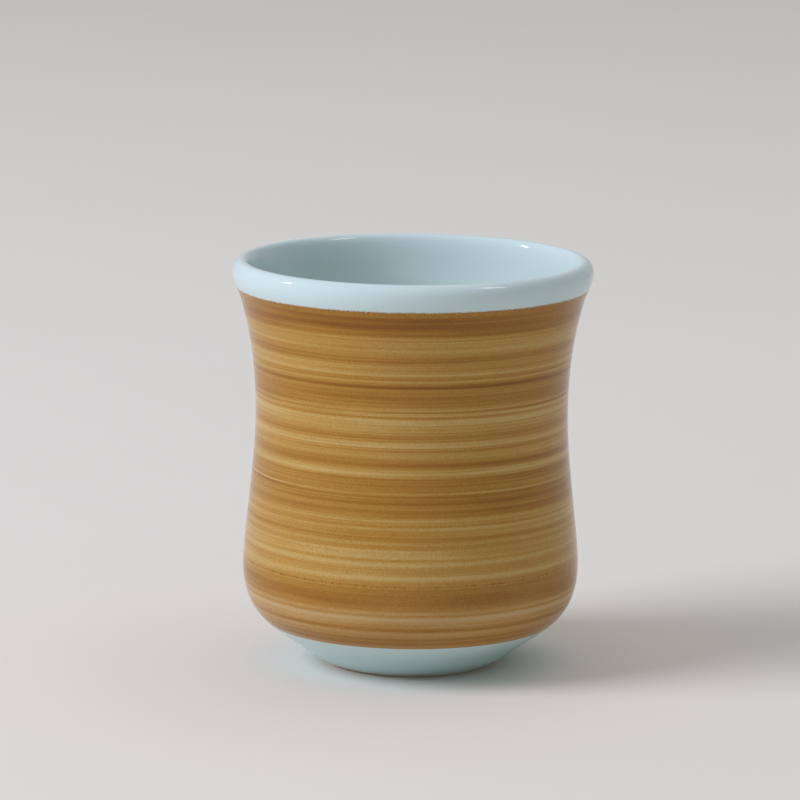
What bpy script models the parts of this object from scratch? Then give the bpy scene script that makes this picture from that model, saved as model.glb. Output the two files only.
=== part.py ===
# Handleless coffee cup: a waisted porcelain body under its coats of glaze.
# Metres, +Z up. The origin is the centre of the standing ring, on the table.
# Every piece is turned about Z from a line of (radius, height) points.

import itertools
import math
from collections import namedtuple

import bmesh
import bpy
from mathutils import Vector
from mathutils.geometry import interpolate_bezier

MM = 0.001

# Outside form, over the glaze, from the lip down to the foot
CREST_RADIUS = 37.8 * MM
CREST_HEIGHT = 90.7 * MM
LIP_RADIUS = 40.0 * MM
LIP_HEIGHT = 88.1 * MM
NECK_RADIUS = 37.95 * MM
NECK_HEIGHT = 81.7 * MM
NECK_FLARE = 14.8
WAIST_RADIUS = 34.7 * MM
WAIST_HEIGHT = 56.2 * MM
BELLY_RADIUS = 37.4 * MM
BELLY_HEIGHT = 22.3 * MM
BOWL_RADIUS = 26.5 * MM
BOWL_HEIGHT = 5.3 * MM
BOWL_SLOPE = 56.0
FOOT_RADIUS = 18.2 * MM
FOOT_SLOPE = 67.4

# Wall, floor and underside, over the glaze
WALL = 3.4 * MM
BELLY_WALL = 3.7 * MM
INNER_BELLY_HEIGHT = 23.5 * MM
FLOOR_HEIGHT = 6.2 * MM
RECESS_RADIUS = 14.4 * MM
RECESS_CEILING_RADIUS = 12.2 * MM
RECESS_DEPTH = 2.0 * MM
RECESS_DRAFT = 20.0

# How far the handles of the curves pull before and after a point, which sets how full the curves are
LIP_PULL = 2.7 * MM
NECK_PULLS = (2.4 * MM, 9.1 * MM)
WAIST_PULLS = (10.1 * MM, 11.8 * MM)
BELLY_PULLS = (7.2 * MM, 9.6 * MM)
BOWL_PULLS = (8.0 * MM, 3.7 * MM)
FOOT_PULL = 4.4 * MM
FLOOR_PULL = 22.0 * MM
INNER_BELLY_PULLS = (12.0 * MM, 7.0 * MM)
INNER_WAIST_PULLS = (11.5 * MM, 10.0 * MM)
INNER_NECK_PULLS = (9.0 * MM, 5.5 * MM)
INNER_CREST_PULL = 2.0 * MM
RECESS_PULL = 1.2 * MM
RECESS_CEILING_PULL = 1.0 * MM

# Coats of glaze, and the clay left bare around the standing ring
COAT = 0.4 * MM
BOND_GAP = 0.1 * MM
BAND_TOP = 84.8 * MM
BAND_BOTTOM = 9.55 * MM
GLAZE_LINE = 0.9 * MM
RIM_HEIGHT = 0.6 * MM
RIM_ROUND = 0.4 * MM

# Linear colour and roughness of each finish
BARE_CLAY = ((0.78, 0.72, 0.62), 0.7)
PALE_GLAZE = ((0.62, 0.76, 0.82), 0.07)
STREAKED_GLAZE = ((0.44, 0.22, 0.033), 0.18)

SEGMENTS = 48
SHARP_ANGLE = 35.0
QUARTER_ROUND = 0.5523
MERGE = 0.001 * MM

# A point that a curve passes through. The heading is in degrees, clockwise from straight up, with the radius
# to the right. The pulls are the lengths of the handles before and after the point, and steps counts the
# facets that lead up to it.
Station = namedtuple("Station", "radius height heading pulls steps")


def curve(stations):
    points = [Vector((stations[0].radius, stations[0].height))]
    for start, end in itertools.pairwise(stations):
        start_point = Vector((start.radius, start.height))
        end_point = Vector((end.radius, end.height))
        handle_out = start_point + direction(start.heading) * start.pulls[1]
        handle_in = end_point - direction(end.heading) * end.pulls[0]
        points += interpolate_bezier(start_point, handle_out, handle_in, end_point, end.steps + 1)[1:]
    return points


def direction(heading):
    return Vector((math.sin(math.radians(heading)), math.cos(math.radians(heading))))


# The line moved sideways, to the right of its travel, with every facet kept parallel.
def shifted(points, depth):
    chain = [beyond(points[0], points[1]), *points, beyond(points[-1], points[-2])]
    moved = []
    for before, point, after in zip(chain, chain[1:], chain[2:]):
        travel = (point - before).normalized() + (after - point).normalized()
        mitre = Vector((travel.y, -travel.x)) * 2 / travel.length_squared
        moved.append(point + mitre * depth)
    return moved


# The neighbour past the end of a line: its mirror image on the axis, or straight on elsewhere.
def beyond(end, neighbour):
    if end.x == 0:
        return Vector((-neighbour.x, neighbour.y))
    return 2 * end - neighbour


# The two parts of a line on either side of its first crossing of a height.
def cut(points, height):
    for index, (start, end) in enumerate(itertools.pairwise(points)):
        if (start.y - height) * (end.y - height) <= 0:
            crossing = start.lerp(end, (height - start.y) / (end.y - start.y))
            return points[: index + 1] + [crossing], [crossing] + points[index + 1 :]
    raise ValueError("the line never reaches that height")


def inside_line():
    return curve(
        [
            Station(0, FLOOR_HEIGHT, 90, (0, FLOOR_PULL), 0),
            Station(BELLY_RADIUS - BELLY_WALL, INNER_BELLY_HEIGHT, 0, INNER_BELLY_PULLS, 7),
            Station(WAIST_RADIUS - WALL, WAIST_HEIGHT, 0, INNER_WAIST_PULLS, 4),
            Station(inner_neck_radius(), NECK_HEIGHT, NECK_FLARE, INNER_NECK_PULLS, 4),
            Station(CREST_RADIUS, CREST_HEIGHT, 90, (INNER_CREST_PULL, 0), 5),
        ]
    )


def inner_neck_radius():
    return NECK_RADIUS - WALL / math.cos(math.radians(NECK_FLARE))


def outside_line():
    lip_reach = QUARTER_ROUND * (LIP_RADIUS - CREST_RADIUS)
    lip_drop = QUARTER_ROUND * (CREST_HEIGHT - LIP_HEIGHT)
    return curve(
        [
            Station(CREST_RADIUS, CREST_HEIGHT, 90, (0, lip_reach), 0),
            Station(LIP_RADIUS, LIP_HEIGHT, 180, (lip_drop, LIP_PULL), 3),
            Station(NECK_RADIUS, NECK_HEIGHT, 180 + NECK_FLARE, NECK_PULLS, 2),
            Station(WAIST_RADIUS, WAIST_HEIGHT, 180, WAIST_PULLS, 5),
            Station(BELLY_RADIUS, BELLY_HEIGHT, 180, BELLY_PULLS, 5),
            Station(BOWL_RADIUS, BOWL_HEIGHT, 180 + BOWL_SLOPE, BOWL_PULLS, 5),
            Station(FOOT_RADIUS, 0, 180 + FOOT_SLOPE, (FOOT_PULL, 0), 2),
        ]
    )


# Up the inner side of the standing ring and across to the axis.
def underside_line():
    corner = [
        Station(RECESS_RADIUS, 0, -RECESS_DRAFT, (0, RECESS_PULL), 0),
        Station(RECESS_CEILING_RADIUS, RECESS_DEPTH, -90, (RECESS_CEILING_PULL, 0), 4),
    ]
    return curve(corner) + [Vector((0, RECESS_DEPTH))]


# The clay lies under the coats and comes down to the table as a ring with rounded edges.
def clay_section(inside, outside, underside):
    sink = COAT + BOND_GAP
    wall = shifted(inside + outside[1:], sink)
    outer_wall, _ = cut(wall[len(inside) :], RIM_HEIGHT)
    _, ceiling = cut(shifted(underside, sink), RIM_HEIGHT)
    return wall[: len(inside)] + outer_wall + ring_edges(outer_wall[-1].x, ceiling[0].x) + ceiling


def ring_edges(outer_radius, inner_radius):
    pull = QUARTER_ROUND * RIM_ROUND
    outer_edge = [
        Station(outer_radius, RIM_ROUND, 180, (0, pull), 0),
        Station(outer_radius - RIM_ROUND, 0, 270, (pull, 0), 3),
    ]
    inner_edge = [
        Station(inner_radius + RIM_ROUND, 0, 270, (0, pull), 0),
        Station(inner_radius, RIM_ROUND, 360, (pull, 0), 3),
    ]
    return curve(outer_edge) + curve(inner_edge)


# A coat is the stretch of surface that it shows and the same stretch one coat deeper.
def coat_section(face):
    return face + shifted(face, COAT)[::-1]


# One closed body turned about Z. The section is a closed loop, and a side that lies on the axis isn't turned.
def turned(name, section, material):
    shape = bmesh.new()
    points = [shape.verts.new((point.x, 0, point.y)) for point in section]
    sides = zip(points, points[1:] + points[:1])
    edges = [shape.edges.new(side) for side in sides if max(point.co.x for point in side) > 0]
    bmesh.ops.spin(
        shape,
        geom=points + edges,
        cent=(0, 0, 0),
        axis=(0, 0, 1),
        angle=math.tau,
        steps=SEGMENTS,
        use_merge=True,
    )
    bmesh.ops.remove_doubles(shape, verts=shape.verts, dist=MERGE)
    bmesh.ops.recalc_face_normals(shape, faces=shape.faces)
    mesh = bpy.data.meshes.new(name)
    shape.to_mesh(mesh)
    shape.free()
    mesh.shade_smooth()
    mesh.set_sharp_from_angle(angle=math.radians(SHARP_ANGLE))
    mesh.materials.append(material)
    piece = bpy.data.objects.new(name, mesh)
    bpy.context.scene.collection.objects.link(piece)


def finish(name, colour, roughness):
    material = bpy.data.materials.new(name)
    material.use_nodes = True
    shader = material.node_tree.nodes["Principled BSDF"]
    shader.inputs["Base Color"].default_value = (*colour, 1)
    shader.inputs["Roughness"].default_value = roughness
    shader.inputs["Metallic"].default_value = 0
    return material


def main():
    for old in list(bpy.data.objects):
        bpy.data.objects.remove(old)

    inside = inside_line()
    outside = outside_line()
    underside = underside_line()
    lip, _ = cut(outside, BAND_TOP)
    _, below_lip = cut(outside, BAND_TOP - BOND_GAP)
    band, _ = cut(below_lip, BAND_BOTTOM)
    _, below_band = cut(outside, BAND_BOTTOM - BOND_GAP)
    bowl, _ = cut(below_band, GLAZE_LINE)
    _, recess = cut(underside, GLAZE_LINE)

    turned("porcelain_body", clay_section(inside, outside, underside), finish("bare_porcelain", *BARE_CLAY))
    turned("liner_glaze", coat_section(inside + lip[1:]), finish("liner_glaze", *PALE_GLAZE))
    turned("streaked_band", coat_section(band), finish("streaked_glaze", *STREAKED_GLAZE))
    turned("foot_glaze", coat_section(bowl), finish("foot_glaze", *PALE_GLAZE))
    turned("base_glaze", coat_section(recess), finish("base_glaze", *PALE_GLAZE))


main()
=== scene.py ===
import math

import bpy
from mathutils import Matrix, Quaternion, Vector


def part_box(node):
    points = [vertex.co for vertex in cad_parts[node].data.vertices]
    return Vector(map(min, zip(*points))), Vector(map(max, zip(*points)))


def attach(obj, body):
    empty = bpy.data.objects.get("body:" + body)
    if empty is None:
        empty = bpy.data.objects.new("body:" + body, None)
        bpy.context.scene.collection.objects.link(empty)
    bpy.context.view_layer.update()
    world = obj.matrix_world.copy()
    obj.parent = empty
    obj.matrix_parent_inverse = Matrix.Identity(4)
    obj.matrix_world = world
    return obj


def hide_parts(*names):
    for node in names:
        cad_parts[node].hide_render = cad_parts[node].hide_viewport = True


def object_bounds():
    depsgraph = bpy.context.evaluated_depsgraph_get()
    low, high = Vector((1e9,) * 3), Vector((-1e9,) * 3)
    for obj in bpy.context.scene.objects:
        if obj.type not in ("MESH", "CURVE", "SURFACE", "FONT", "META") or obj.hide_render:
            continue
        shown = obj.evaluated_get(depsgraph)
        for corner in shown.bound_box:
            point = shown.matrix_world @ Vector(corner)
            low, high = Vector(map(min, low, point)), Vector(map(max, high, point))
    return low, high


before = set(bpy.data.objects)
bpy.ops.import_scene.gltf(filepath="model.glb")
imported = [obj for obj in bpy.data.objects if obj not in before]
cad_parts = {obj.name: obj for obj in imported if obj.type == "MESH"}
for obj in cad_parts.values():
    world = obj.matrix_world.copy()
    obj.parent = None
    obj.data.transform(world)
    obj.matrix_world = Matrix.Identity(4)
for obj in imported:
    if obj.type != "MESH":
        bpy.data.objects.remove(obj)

mm = 0.001
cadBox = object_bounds()
cupTop = cadBox[1].z
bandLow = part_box("streaked_band")[0].z
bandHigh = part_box("streaked_band")[1].z
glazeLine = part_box("foot_glaze")[0].z
print("frame loaded:", ", ".join(sorted(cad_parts)))


# Small helpers for the materials

def linear(hexColour):   # sRGB to linear light, opaque
    parts = [int(hexColour[i : i + 2], 16) / 255 for i in (1, 3, 5)]
    return [p / 12.92 if p <= 0.04045 else ((p + 0.055) / 1.055) ** 2.4 for p in parts] + [1]


# An input is a plain value, a socket, or a node that gives its first output
def addNode(tree, kind, inputs, stops=(), **settings):
    node = tree.nodes.new(kind)
    for name, value in settings.items():
        setattr(node, name, value)
    for name, value in inputs.items():
        named = [s for s in node.inputs if s.enabled and s.name == name]
        socket = named[0] if named else node.inputs[name]
        if isinstance(value, bpy.types.Node):
            value = next(s for s in value.outputs if s.enabled)
        if isinstance(value, bpy.types.NodeSocket):
            tree.links.new(value, socket)
        else:
            socket.default_value = value
    for i, (position, colour) in enumerate(stops):
        stop = node.color_ramp.elements[i] if i < 2 else node.color_ramp.elements.new(position)
        stop.position = position
        stop.color = linear(colour)
    return node


def startMaterial(name):
    material = bpy.data.materials.new(name)
    material.use_nodes = True
    tree = material.node_tree
    tree.nodes.remove(tree.nodes["Principled BSDF"])
    metres = addNode(tree, "ShaderNodeTexCoord", {}).outputs["Object"]
    place = addNode(tree, "ShaderNodeVectorMath", {0: metres, "Scale": 1 / mm}, operation="SCALE")  # in mm
    return material, tree, place


def closeMaterial(tree, inputs):
    shader = addNode(tree, "ShaderNodeBsdfPrincipled", inputs)
    tree.links.new(shader.outputs[0], tree.nodes["Material Output"].inputs["Surface"])


# Pale celadon glaze on porcelain, dipped and fired glossy: a cool blue-white that deepens to a darker teal in
# the bottom and above the foot, partly where the glass pools and partly as painted shade, pales where it runs
# thin over the lip, and lies a little unevenly.
paleGlaze = {
    "thin": "#D2E6EB",
    "full": "#CFE2E4",
    # darker teal: partly thick pooled glass, partly painted shade deep in the cup
    "pooledAndShade": "#BAD7D5",
    "roughness": 0.07,
    "ior": 1.5,
    "patch": 24,                # mm across a patch of thicker glaze
    "patchNoise": (0.35, 0.7),  # noise where a patch begins and is full
    "patchShare": 0.3,          # how far a full patch goes towards the pooled colour
    "poolAndShadeTop": 16,              # mm above the table
    "thinFrom": 84,             # mm above the table
    "ripple": 6,                # mm from wave to wave
    "rippleDepth": 0.012,       # mm
    "peel": 0.9,                # mm from dimple to dimple
    "peelDepth": 0.0012,        # mm
}


def makePaleGlaze(look):
    material, tree, place = startMaterial("celadonGlaze")
    height = addNode(tree, "ShaderNodeSeparateXYZ", {0: place}).outputs["Z"]

    # The colour follows how thick the glass lies
    patchNoise = addNode(
        tree, "ShaderNodeTexNoise", {"Vector": place, "Scale": 1 / look["patch"], "Detail": 2},
    )
    patchStart, patchFull = look["patchNoise"]
    patch = addNode(
        tree, "ShaderNodeMapRange",
        {"Value": patchNoise, "From Min": patchStart, "From Max": patchFull, "To Max": look["patchShare"]},
    )
    # Darker towards the bottom: partly pooled glass, partly painted shade of the cup's inside and lower bowl
    poolAndShade = addNode(
        tree, "ShaderNodeMapRange",
        {"Value": height, "From Min": look["poolAndShadeTop"], "From Max": 0},
        interpolation_type="SMOOTHSTEP",
    )
    thick = addNode(tree, "ShaderNodeMath", {0: patch, 1: poolAndShade}, operation="MAXIMUM")
    glass = addNode(
        tree, "ShaderNodeMix",
        {"Factor": thick, "A": linear(look["full"]), "B": linear(look["pooledAndShade"])},
        data_type="RGBA",
    )
    crest = addNode(
        tree, "ShaderNodeMapRange",
        {"Value": height, "From Min": look["thinFrom"], "From Max": cupTop / mm},
        interpolation_type="SMOOTHSTEP",
    )
    colour = addNode(
        tree, "ShaderNodeMix",
        {"Factor": crest, "A": glass, "B": linear(look["thin"])},
        data_type="RGBA",
    )

    # Slow waves, and fine dimples over them
    ripple = addNode(tree, "ShaderNodeTexNoise", {"Vector": place, "Scale": 1 / look["ripple"], "Detail": 1})
    waves = addNode(tree, "ShaderNodeBump", {"Height": ripple, "Distance": look["rippleDepth"] * mm})
    peel = addNode(tree, "ShaderNodeTexNoise", {"Vector": place, "Scale": 1 / look["peel"], "Detail": 1})
    skin = addNode(
        tree, "ShaderNodeBump",
        {"Height": peel, "Distance": look["peelDepth"] * mm, "Normal": waves},
    )
    closeMaterial(tree, {
        "Base Color": colour, "Normal": skin, "Roughness": look["roughness"], "IOR": look["ior"],
    })
    return material


# Brown glaze laid on with a loaded brush as the cup turned on the wheel: level rings of thin pale and thick
# dark colour, feathered and split by the hairs of the brush, under a glossy fired skin with a fine grain.
# The dark rings just under the lip and the lowest dark ring are partly painted shade: the shadow of the
# overhanging lip, and the belly turning away from the light.
# A ring is its height in mm above the table, its tone below or above the middle brown, and its reach in mm.
brushedGlaze = {
    "rings": [
        # The dark rings from 84.3 down to 80.1 mm are partly painted shadow under the overhanging lip
        (84.3, -0.26, 1.3), (82.6, -0.46, 1.5), (81.2, -0.46, 0.9), (80.1, -0.3, 1.1), (79.3, -0.2, 0.7),
        (78.65, 0.1, 0.45), (77.5, 0.12, 0.7), (76.3, 0.2, 1.0), (75.4, 0.08, 0.8), (73.7, -0.26, 1.2),
        (72.3, 0.14, 0.6), (70.7, 0.2, 0.7), (69.4, -0.18, 0.35), (69.0, 0.18, 0.5), (67.8, -0.5, 0.65),
        (65.6, -0.2, 2.4), (65.1, -0.18, 0.6), (63.6, -0.2, 0.9), (62.8, 0.14, 0.35), (62.2, -0.3, 0.45),
        (61.6, 0.34, 0.6), (60.1, 0.46, 1.0), (58.6, 0.24, 1.1), (56.8, -0.08, 0.6), (54.8, 0.3, 0.9),
        (52.8, 0.2, 1.4), (50.6, -0.28, 0.9), (48.7, 0.28, 1.1), (47.75, -0.18, 0.45), (46.8, -0.22, 1.0),
        (45.1, -0.12, 0.5), (44.45, 0.28, 0.4), (43.9, -0.42, 0.6), (42.5, -0.32, 1.3), (40.2, -0.36, 1.2),
        (38.4, 0.16, 1.1), (36.8, 0.32, 0.9), (35.7, 0.26, 0.6), (34.8, -0.16, 0.6), (33.7, 0.28, 0.7),
        (32.2, 0.14, 0.4), (31.1, 0.32, 1.5), (29.3, 0.32, 1.0), (28.5, 0.12, 0.5), (27.5, 0.14, 0.9),
        (26.2, 0.34, 1.4), (24.4, -0.16, 0.3), (24.1, 0.08, 0.3), (23.5, -0.14, 0.9), (21.6, -0.34, 1.8),
        (20.6, -0.18, 0.8), (19.7, -0.2, 1.1), (18.6, 0.2, 0.7), (16.9, 0.36, 1.1), (15.6, 0.24, 0.6),
        # The dark ring at 11.5 mm is partly painted shade where the belly turns under, away from the light
        (14.4, -0.3, 0.6), (13.6, 0.2, 0.8), (11.5, -0.22, 1.6),
    ],
    "ringCore": 0.15,             # share of the reach that keeps the full tone
    "sway": 0.15,                 # mm that a ring wanders up and down
    "swayLength": 60,             # mm
    "feather": 0.16,              # mm that the hairs fray a ring's edges
    "featherSize": (9, 0.4),      # mm around and upright
    "fadeSize": (30, 3),          # mm around and upright over which a ring gains and loses strength
    "fadeNoise": (0.3, 0.7),      # noise where a ring is weakest and strongest
    "fadeRange": (0.6, 1.4),      # its strength there
    # Brush marks are mm around, mm upright, detail, and strength on the wall and on the belly
    "marks": [
        (90, 0.32, 1, 0.4, 0.2),      # single hairs
        (110, 1.1, 1, 0.22, 0.2),     # clumps of hairs
        (70, 4, 1, 0.12, 0.12),       # how full the brush was
        (0.32, 0.32, 1, 0.3, 0.36),   # fired grain, coarser than real so that it shows
    ],
    "belly": (25, 6, 11),         # mm: middle height, and how far from it its marks are full and gone
    "pinLine": (24.4, 0.4),       # mm: height and reach of the one ring that is dotted with pinholes
    "pinSize": 0.65,              # mm from pinhole to pinhole
    "pinNoise": (0.54, 0.72),     # noise where a pinhole begins and is full
    "pinTone": -0.5,
    "speckSize": 0.4,             # mm between specks of thick colour under the top edge
    "speckReach": 2.4,            # mm
    "speckTone": 0.7,
    "toothSize": 0.2,             # mm between teeth of the ragged top edge
    "toothDepth": 0.9,            # mm
    "edgeFade": 0.35,             # mm
    "tones": [
        (-0.85, "#855009"), (0.45, "#C6A564"),   # the ends come first
        (-0.4, "#9C691B"), (-0.2, "#A67526"), (0, "#B18233"), (0.2, "#BA9147"),
    ],
    "rose": (1.0, 0.99, 1.35, 1), # what red, green and blue are multiplied by low on the belly
    "roseHeights": (25, 16),      # mm above the table where that begins and is full
    "roughness": 0.18,
    "ior": 1.4,
    "reliefDepth": 0.006,         # mm
}


def stretch(around, upright):   # scale of a pattern that is drawn out by the turning wheel
    return (1 / around, 1 / around, 1 / upright)


# The height that the rings go by: it sways slowly around the cup, and the hairs fray it
def brushedLevel(tree, look, place, height):
    swayNoise = addNode(
        tree, "ShaderNodeTexNoise", {"Vector": place, "Scale": 1 / look["swayLength"], "Detail": 0},
    )
    sway = addNode(
        tree, "ShaderNodeMapRange",
        {"Value": swayNoise, "To Min": -look["sway"], "To Max": look["sway"]},
    )
    swayed = addNode(tree, "ShaderNodeMath", {0: height, 1: sway}, operation="ADD")
    featherPlace = addNode(
        tree, "ShaderNodeVectorMath", {0: place, 1: stretch(*look["featherSize"])}, operation="MULTIPLY",
    )
    featherNoise = addNode(tree, "ShaderNodeTexNoise", {"Vector": featherPlace, "Scale": 1, "Detail": 1})
    feather = addNode(
        tree, "ShaderNodeMapRange",
        {"Value": featherNoise, "To Min": -look["feather"], "To Max": look["feather"]},
    )
    frayed = addNode(tree, "ShaderNodeMath", {0: swayed, 1: feather}, operation="ADD")
    return addNode(tree, "ShaderNodeCombineXYZ", {"Z": frayed})


def ringTones(tree, look, place, level):
    rings = 0.0
    for ringHeight, tone, reach in look["rings"]:
        away = addNode(tree, "ShaderNodeVectorMath", {0: level, 1: (0, 0, ringHeight)}, operation="DISTANCE")
        near = addNode(
            tree, "ShaderNodeMapRange",
            {"Value": away, "From Min": reach, "From Max": reach * look["ringCore"]},
            interpolation_type="SMOOTHSTEP",
        )
        rings = addNode(tree, "ShaderNodeMath", {0: near, 1: tone, 2: rings}, operation="MULTIPLY_ADD")
    fadePlace = addNode(
        tree, "ShaderNodeVectorMath", {0: place, 1: stretch(*look["fadeSize"])}, operation="MULTIPLY",
    )
    fadeNoise = addNode(tree, "ShaderNodeTexNoise", {"Vector": fadePlace, "Scale": 1, "Detail": 1})
    fade = addNode(
        tree, "ShaderNodeMapRange",
        {
            "Value": fadeNoise, "From Min": look["fadeNoise"][0], "From Max": look["fadeNoise"][1],
            "To Min": look["fadeRange"][0], "To Max": look["fadeRange"][1],
        },
    )
    return addNode(tree, "ShaderNodeMath", {0: rings, 1: fade}, operation="MULTIPLY")


def brushMarks(tree, look, place, height):
    bellyHeight, bellyFull, bellyGone = look["belly"]
    above = addNode(tree, "ShaderNodeMath", {0: height, 1: bellyHeight}, operation="SUBTRACT")
    away = addNode(tree, "ShaderNodeMath", {0: above}, operation="ABSOLUTE")
    onBelly = addNode(
        tree, "ShaderNodeMapRange",
        {"Value": away, "From Min": bellyGone, "From Max": bellyFull},
        interpolation_type="SMOOTHSTEP",
    )
    marks = 0.0
    for around, upright, detail, wallStrength, bellyStrength in look["marks"]:
        markPlace = addNode(
            tree, "ShaderNodeVectorMath", {0: place, 1: stretch(around, upright)}, operation="MULTIPLY",
        )
        markNoise = addNode(tree, "ShaderNodeTexNoise", {"Vector": markPlace, "Scale": 1, "Detail": detail})
        mark = addNode(tree, "ShaderNodeMapRange", {"Value": markNoise, "To Min": -1, "To Max": 1})
        strength = addNode(
            tree, "ShaderNodeMapRange",
            {"Value": onBelly, "To Min": wallStrength, "To Max": bellyStrength},
        )
        marks = addNode(tree, "ShaderNodeMath", {0: mark, 1: strength, 2: marks}, operation="MULTIPLY_ADD")
    return marks


def pinholes(tree, look, place, level):
    pinHeight, pinReach = look["pinLine"]
    away = addNode(tree, "ShaderNodeVectorMath", {0: level, 1: (0, 0, pinHeight)}, operation="DISTANCE")
    onLine = addNode(tree, "ShaderNodeMapRange", {"Value": away, "From Min": pinReach, "From Max": 0})
    pinNoise = addNode(
        tree, "ShaderNodeTexNoise", {"Vector": place, "Scale": 1 / look["pinSize"], "Detail": 0},
    )
    pinStart, pinFull = look["pinNoise"]
    pins = addNode(
        tree, "ShaderNodeMapRange",
        {"Value": pinNoise, "From Min": pinStart, "From Max": pinFull, "To Max": look["pinTone"]},
        interpolation_type="SMOOTHSTEP",
    )
    return addNode(tree, "ShaderNodeMath", {0: pins, 1: onLine}, operation="MULTIPLY")


def edgeSpecks(tree, look, place, height):
    speckNoise = addNode(
        tree, "ShaderNodeTexNoise", {"Vector": place, "Scale": 1 / look["speckSize"], "Detail": 1},
    )
    specks = addNode(
        tree, "ShaderNodeMapRange",
        {"Value": speckNoise, "To Min": -look["speckTone"], "To Max": look["speckTone"]},
    )
    nearEdge = addNode(
        tree, "ShaderNodeMapRange",
        {"Value": height, "From Min": bandHigh / mm - look["speckReach"], "From Max": bandHigh / mm},
    )
    return addNode(tree, "ShaderNodeMath", {0: specks, 1: nearEdge}, operation="MULTIPLY")


# How much of the pale glaze shows: none below the ragged top edge of the brown, and all of it above
def raggedEdge(tree, look, place, height):
    toothNoise = addNode(
        tree, "ShaderNodeTexNoise", {"Vector": place, "Scale": 1 / look["toothSize"], "Detail": 0},
    )
    tooth = addNode(
        tree, "ShaderNodeMath", {0: toothNoise, 1: look["toothDepth"], 2: height}, operation="MULTIPLY_ADD",
    )
    edgeHeight = bandHigh / mm + (look["toothDepth"] + look["edgeFade"]) / 2
    return addNode(
        tree, "ShaderNodeMapRange",
        {"Value": tooth, "From Min": edgeHeight - look["edgeFade"], "From Max": edgeHeight},
        interpolation_type="SMOOTHSTEP",
    )


def makeBrushedGlaze(look, edgeColour):
    material, tree, place = startMaterial("brushedBrownGlaze")
    height = addNode(tree, "ShaderNodeSeparateXYZ", {0: place}).outputs["Z"]
    level = brushedLevel(tree, look, place, height)
    marks = brushMarks(tree, look, place, height)
    tone = marks
    for more in (
        pinholes(tree, look, place, level),
        edgeSpecks(tree, look, place, height),
        ringTones(tree, look, place, level),
    ):
        tone = addNode(tree, "ShaderNodeMath", {0: tone, 1: more}, operation="ADD")

    darkest, lightest = look["tones"][0][0], look["tones"][1][0]
    share = addNode(tree, "ShaderNodeMapRange", {"Value": tone, "From Min": darkest, "From Max": lightest})
    stops = [((at - darkest) / (lightest - darkest), colour) for at, colour in look["tones"]]
    brown = addNode(tree, "ShaderNodeValToRGB", {"Fac": share}, stops=stops)
    roseStart, roseFull = look["roseHeights"]
    belly = addNode(
        tree, "ShaderNodeMapRange",
        {"Value": height, "From Min": roseStart, "From Max": roseFull},
        interpolation_type="SMOOTHSTEP",
    )
    rose = addNode(
        tree, "ShaderNodeMix", {"Factor": belly, "A": brown, "B": look["rose"]},
        data_type="RGBA", blend_type="MULTIPLY",
    )
    colour = addNode(
        tree, "ShaderNodeMix",
        {"Factor": raggedEdge(tree, look, place, height), "A": rose, "B": linear(edgeColour)},
        data_type="RGBA",
    )
    relief = addNode(tree, "ShaderNodeBump", {"Height": marks, "Distance": look["reliefDepth"] * mm})
    closeMaterial(tree, {
        "Base Color": colour, "Normal": relief, "Roughness": look["roughness"], "IOR": look["ior"],
    })
    return material


# Bare porcelain, wiped clean of glaze before firing: dense and matt like an eggshell, warm white with a fine
# grit, a little greyed where it has stood on tables.
barePorcelain = {
    "clay": "#ECE7DD",
    "toasted": "#DDD0BC",
    "worn": "#C9C2B6",
    "roughness": 0.7,
    "ior": 1.5,
    "toast": 5,           # mm across a patch toned by the kiln
    "wearTop": 0.25,      # mm above the table
    "grit": 0.3,          # mm from grain to grain, coarser than real so that it shows
    "gritDepth": 0.02,    # mm
}


def makeBarePorcelain(look):
    material, tree, place = startMaterial("barePorcelain")
    height = addNode(tree, "ShaderNodeSeparateXYZ", {0: place}).outputs["Z"]
    toast = addNode(tree, "ShaderNodeTexNoise", {"Vector": place, "Scale": 1 / look["toast"], "Detail": 3})
    clay = addNode(
        tree, "ShaderNodeMix",
        {"Factor": toast, "A": linear(look["clay"]), "B": linear(look["toasted"])},
        data_type="RGBA",
    )
    grit = addNode(tree, "ShaderNodeTexNoise", {"Vector": place, "Scale": 1 / look["grit"], "Detail": 2})
    low = addNode(tree, "ShaderNodeMapRange", {"Value": height, "From Min": look["wearTop"], "From Max": 0})
    wear = addNode(tree, "ShaderNodeMath", {0: low, 1: grit}, operation="MULTIPLY")
    colour = addNode(
        tree, "ShaderNodeMix", {"Factor": wear, "A": clay, "B": linear(look["worn"])}, data_type="RGBA",
    )
    relief = addNode(tree, "ShaderNodeBump", {"Height": grit, "Distance": look["gritDepth"] * mm})
    closeMaterial(tree, {
        "Base Color": colour, "Normal": relief, "Roughness": look["roughness"], "IOR": look["ior"],
    })
    return material


celadon = makePaleGlaze(paleGlaze)
brushed = makeBrushedGlaze(brushedGlaze, paleGlaze["full"])
biscuit = makeBarePorcelain(barePorcelain)
print("materials made")


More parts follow.
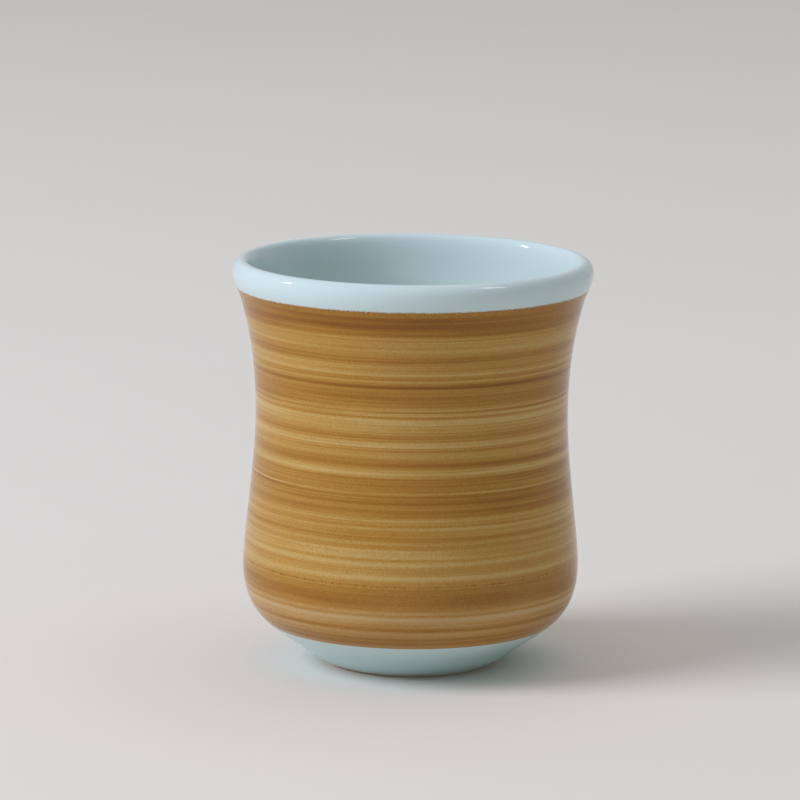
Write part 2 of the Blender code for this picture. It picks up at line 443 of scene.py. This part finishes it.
# Cup form: three lines that are spun about Z into the glazed skin of the cup.
# A knot is radius and height in mm, heading in degrees clockwise from up, and the lengths in mm of the
# handles before and after it.
cupForm = {
    "inside": [
        (0, 6.2, 90, 0, 22),            # middle of the floor
        (33.7, 23.5, 0, 12, 7),         # belly
        (31.3, 56.2, 0, 11.5, 10),      # waist
        (34.43, 81.7, 14.8, 9, 5.5),    # neck
        (37.8, 90.7, 90, 2, 0),         # crest of the lip
    ],
    "outside": [
        (37.8, 90.7, 90, 0, 1.215),     # crest of the lip
        (40.0, 88.1, 180, 1.436, 2.7),  # widest point of the lip
        (37.95, 81.7, 194.8, 2.4, 9.1), # neck
        (34.7, 56.2, 180, 10.1, 11.8),  # waist
        (37.4, 22.3, 180, 7.2, 9.6),    # belly
        (26.5, 5.3, 236, 8, 3.7),       # lower bowl
        (18.2, 0, 247.4, 4.4, 0),       # edge of the foot
    ],
    "underside": [
        (14.4, 0, -20, 0, 1.2),         # inner edge of the standing ring
        (12.2, 2.0, -90, 1, 4),         # edge of the recess's ceiling
        (0, 2.0, -90, 4, 0),            # middle of the ceiling
    ],
    "curveSteps": 14,         # facets from knot to knot
    "spinSteps": 240,         # facets around
    "coat": 0.4 * mm,         # thickness of the glaze
    "bond": 0.02 * mm,        # clearance between glaze and clay
    "ringRound": 0.3 * mm,    # rounding of the standing ring
    "glazeRound": 0.15 * mm,  # rounding where the glaze stops
    "roundSteps": 3,
    "sharpAngle": 40,         # degrees
}
merge = 0.001 * mm            # points and heights that are closer than this are the same


def only(piece):
    bpy.ops.object.select_all(action="DESELECT")
    piece.select_set(True)
    bpy.context.view_layer.objects.active = piece


def edit(piece, selectMode="VERT"):
    only(piece)
    bpy.ops.object.mode_set(mode="EDIT")
    bpy.ops.mesh.select_mode(type=selectMode)
    bpy.ops.mesh.select_all(action="SELECT")


def leave():
    bpy.ops.object.mode_set(mode="OBJECT")


def spunSkin(name, knots, form):
    bpy.ops.object.select_all(action="DESELECT")
    bpy.ops.curve.primitive_bezier_curve_add()
    skin = bpy.context.object
    skin.name = name
    line = skin.data.splines[0]
    line.bezier_points.add(len(knots) - len(line.bezier_points))
    for point, (radius, height, heading, before, after) in zip(line.bezier_points, knots):
        way = Vector((math.sin(math.radians(heading)), 0, math.cos(math.radians(heading))))
        point.handle_left_type = point.handle_right_type = "FREE"
        point.co = Vector((radius, 0, height)) * mm
        point.handle_left = point.co - way * before * mm
        point.handle_right = point.co + way * after * mm
    skin.data.resolution_u = form["curveSteps"]
    bpy.ops.object.convert(target="MESH")
    edit(skin)
    bpy.ops.mesh.spin(steps=form["spinSteps"], angle=math.tau, center=(0, 0, 0), axis=(0, 0, 1))
    bpy.ops.mesh.select_all(action="SELECT")
    bpy.ops.mesh.remove_doubles(threshold=merge)
    leave()
    return skin


def copyOf(piece, name):
    only(piece)
    bpy.ops.object.duplicate()
    bpy.context.object.name = name
    return bpy.context.object


def keepBetween(piece, low, high):
    edit(piece)
    bpy.ops.mesh.bisect(plane_co=(0, 0, low), plane_no=(0, 0, 1), clear_inner=True)
    bpy.ops.mesh.select_all(action="SELECT")
    bpy.ops.mesh.bisect(plane_co=(0, 0, high), plane_no=(0, 0, 1), clear_outer=True)
    leave()


def joined(pieces, name):
    only(pieces[0])
    for piece in pieces:
        piece.select_set(True)
    bpy.ops.object.join()
    whole = bpy.context.object
    whole.name = name
    edit(whole)
    bpy.ops.mesh.remove_doubles(threshold=merge)
    leave()
    return whole


def faceTheAir(skin, airPoint):
    edit(skin)
    bpy.ops.mesh.normals_make_consistent(inside=False)
    leave()
    _, place, normal, _ = skin.closest_point_on_mesh(airPoint)
    if normal.dot(airPoint - place) < 0:
        edit(skin)
        bpy.ops.mesh.flip_normals()
        leave()


def thicken(skin, depth):
    only(skin)
    wall = skin.modifiers.new("coat", "SOLIDIFY")
    wall.thickness = depth
    wall.offset = -1          # into the clay
    wall.use_even_offset = True
    bpy.ops.object.modifier_apply(modifier=wall.name)


def coatFrom(skin, name, low, high, airPoint, form):
    coat = copyOf(skin, name)
    keepBetween(coat, low, high)
    faceTheAir(coat, airPoint)
    thicken(coat, form["coat"])
    return coat


# Leaves the piece in edit mode, with the edges selected that have both ends where they should be
def pickEdges(piece, isThere):
    edit(piece, "EDGE")
    bpy.ops.mesh.select_all(action="DESELECT")
    leave()
    points = piece.data.vertices
    for side in piece.data.edges:
        side.select = all(isThere(points[i].co) for i in side.vertices)
    bpy.ops.object.mode_set(mode="EDIT")


def roundEdges(piece, width, form, isThere):
    pickEdges(piece, isThere)
    bpy.ops.mesh.bevel(offset=width, segments=form["roundSteps"], affect="EDGES")
    leave()


# The three skins joined, closed by the flat ring that stands on the table, and sunk by the glaze elsewhere
def makeClay(skins, form):
    clay = joined(skins, "clayBody")
    pickEdges(clay, lambda point: abs(point.z) < merge)
    bpy.ops.mesh.bridge_edge_loops()
    bpy.ops.mesh.select_all(action="SELECT")
    bpy.ops.mesh.normals_make_consistent(inside=False)
    bpy.ops.mesh.select_mode(type="VERT")
    bpy.ops.mesh.select_all(action="DESELECT")
    leave()
    for point in clay.data.vertices:
        point.select = point.co.z > merge
    bpy.ops.object.mode_set(mode="EDIT")
    bpy.ops.transform.shrink_fatten(value=-form["coat"] - form["bond"], use_even_offset=True)
    leave()
    ringRadii = [form["outside"][-1][0] * mm, form["underside"][0][0] * mm]
    for radius in ringRadii:
        roundEdges(
            clay, form["ringRound"], form,
            lambda point: abs(point.z) < merge and abs(point.xy.length - radius) < merge,
        )
    return clay


def dress(piece, material, node, form):
    only(piece)
    bpy.ops.object.shade_smooth_by_angle(angle=math.radians(form["sharpAngle"]))
    piece.data.materials.clear()
    piece.data.materials.append(material)
    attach(piece, "root")
    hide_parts(node)
    print("made", piece.name, len(piece.data.polygons), "faces")


def makeCup(form):
    insideSkin = spunSkin("insideSkin", form["inside"], form)
    outsideSkin = spunSkin("outsideSkin", form["outside"], form)
    undersideSkin = spunSkin("undersideSkin", form["underside"], form)

    # Points in the air that the coats face
    middle = Vector((0, 0, cupTop / 2))
    aside = Vector((cadBox[1].x * 2, 0, 0))

    bandCut = bandHigh + brushedGlaze["toothDepth"] * mm / 2   # leaves room for the ragged edge
    lip = copyOf(outsideSkin, "lip")
    keepBetween(lip, bandCut, cupTop + mm)
    liner = joined([copyOf(insideSkin, "liner"), lip], "linerCoat")
    faceTheAir(liner, middle)
    thicken(liner, form["coat"])

    band = coatFrom(outsideSkin, "brushedBand", bandLow, bandCut, aside + middle, form)
    bowl = coatFrom(outsideSkin, "bowlCoat", glazeLine, bandLow, aside, form)
    recess = coatFrom(undersideSkin, "recessCoat", glazeLine, cupTop, -middle, form)
    for coat in (bowl, recess):
        roundEdges(coat, form["glazeRound"], form, lambda point: abs(point.z - glazeLine) < merge)
    clay = makeClay([insideSkin, outsideSkin, undersideSkin], form)

    dress(liner, celadon, "liner_glaze", form)
    dress(band, brushed, "streaked_band", form)
    dress(bowl, celadon, "foot_glaze", form)
    dress(recess, celadon, "base_glaze", form)
    dress(clay, biscuit, "porcelain_body", form)


makeCup(cupForm)


# Studio: a pale floor under an even pale sky, a large soft, slightly cool lamp from the front left, a wide
# soft one overhead, and two small lamps that only the gloss shows.
studio = {
    "floor": "#F3F1ED",
    "floorCloud": "#EFEDE8",
    "floorCloudSize": 180,      # mm
    "floorRoughness": 0.8,
    "floorRadius": 6,           # metres
    "floorSides": 96,
    "floorGap": 0.05 * mm,      # so that the standing ring and the floor don't share a plane
    "sky": "#EDEDEC",
    "skyStrength": 0.36,        # as it lights the cup
    "skyShown": 0.62,           # as it is seen and mirrored
    # A lamp is its size and place in metres, its watts and colour, and whether it is for shading or for gloss
    "lamps": {
        "keyLamp": ((1.6, 1.6), (-2.1, -0.7, 1.5), 50, "#F4F4FF", "shading"),
        "topLamp": ((3.0, 3.0), (0.4, 0.4, 2.6), 14, "#FFFFFF", "shading"),
        "leftStrip": ((0.12, 0.3), (-1.56, 0.16, 1.02), 1.4, "#FFFFFF", "gloss"),
        "rightStrip": ((0.3, 0.6), (0.98, -0.24, 1.6), 2.4, "#FFFFFF", "gloss"),
    },
}


def makeFloor(look):
    material, tree, place = startMaterial("paintedFloor")
    cloud = addNode(tree, "ShaderNodeTexNoise", {"Vector": place, "Scale": 1 / look["floorCloudSize"]})
    colour = addNode(
        tree, "ShaderNodeMix",
        {"Factor": cloud, "A": linear(look["floor"]), "B": linear(look["floorCloud"])},
        data_type="RGBA",
    )
    closeMaterial(tree, {"Base Color": colour, "Roughness": look["floorRoughness"]})
    bpy.ops.object.select_all(action="DESELECT")
    bpy.ops.mesh.primitive_circle_add(
        vertices=look["floorSides"], radius=look["floorRadius"], fill_type="NGON",
        location=(0, 0, -look["floorGap"]),
    )
    floor = bpy.context.object
    floor.name = "floor"
    floor.data.materials.append(material)


def hangLamps(look):
    for name, ((width, tall), spot, watts, tint, use) in look["lamps"].items():
        bpy.ops.object.select_all(action="DESELECT")
        bpy.ops.object.light_add(type="AREA", location=spot)
        lamp = bpy.context.object
        lamp.name = name
        lamp.data.shape = "ELLIPSE"
        lamp.data.size = width
        lamp.data.size_y = tall
        lamp.data.energy = watts
        lamp.data.color = linear(tint)[:3]
        lamp.visible_diffuse = use == "shading"
        lamp.visible_glossy = use == "gloss"
        aim = Vector((0, 0, cupTop / 2)) - lamp.location
        lamp.rotation_euler = aim.to_track_quat("-Z", "Y").to_euler()


def makeSky(look):
    world = bpy.data.worlds.new("paleSky")
    world.use_nodes = True
    bpy.context.scene.world = world
    tree = world.node_tree
    tree.nodes.remove(tree.nodes["Background"])
    lighting, shown = [
        addNode(tree, "ShaderNodeBackground", {"Color": linear(look["sky"]), "Strength": strength})
        for strength in (look["skyStrength"], look["skyShown"])
    ]
    ray = addNode(tree, "ShaderNodeLightPath", {})
    seen = ray.outputs["Is Camera Ray"]
    for kind in ("Is Glossy Ray", "Is Transmission Ray"):
        seen = addNode(tree, "ShaderNodeMath", {0: seen, 1: ray.outputs[kind]}, operation="MAXIMUM")
    sky = addNode(tree, "ShaderNodeMixShader", {0: seen, 1: lighting, 2: shown})
    tree.links.new(sky.outputs[0], tree.nodes["World Output"].inputs["Surface"])


makeFloor(studio)
hangLamps(studio)
makeSky(studio)
print("studio lit")


# Camera: a long lens from a little above, as the photograph was taken.
view = {
    "place": (0, -1.10113, 0.25892),      # metres
    "aim": (-0.00263, 0, 0.05885),        # metres
    "lens": 226.55,                       # mm
    "sensor": 36,                         # mm
    "roll": 0.457,                        # degrees
}
bpy.ops.object.camera_add(location=view["place"])
camera = bpy.context.object
camera.data.lens = view["lens"]
camera.data.sensor_width = view["sensor"]
gaze = Vector(view["aim"]) - Vector(view["place"])
turn = gaze.to_track_quat("-Z", "Y") @ Quaternion((0, 0, 1), math.radians(view["roll"]))
camera.rotation_euler = turn.to_euler()
bpy.context.scene.camera = camera
bpy.context.scene.view_settings.view_transform = "Standard"
print("camera set")
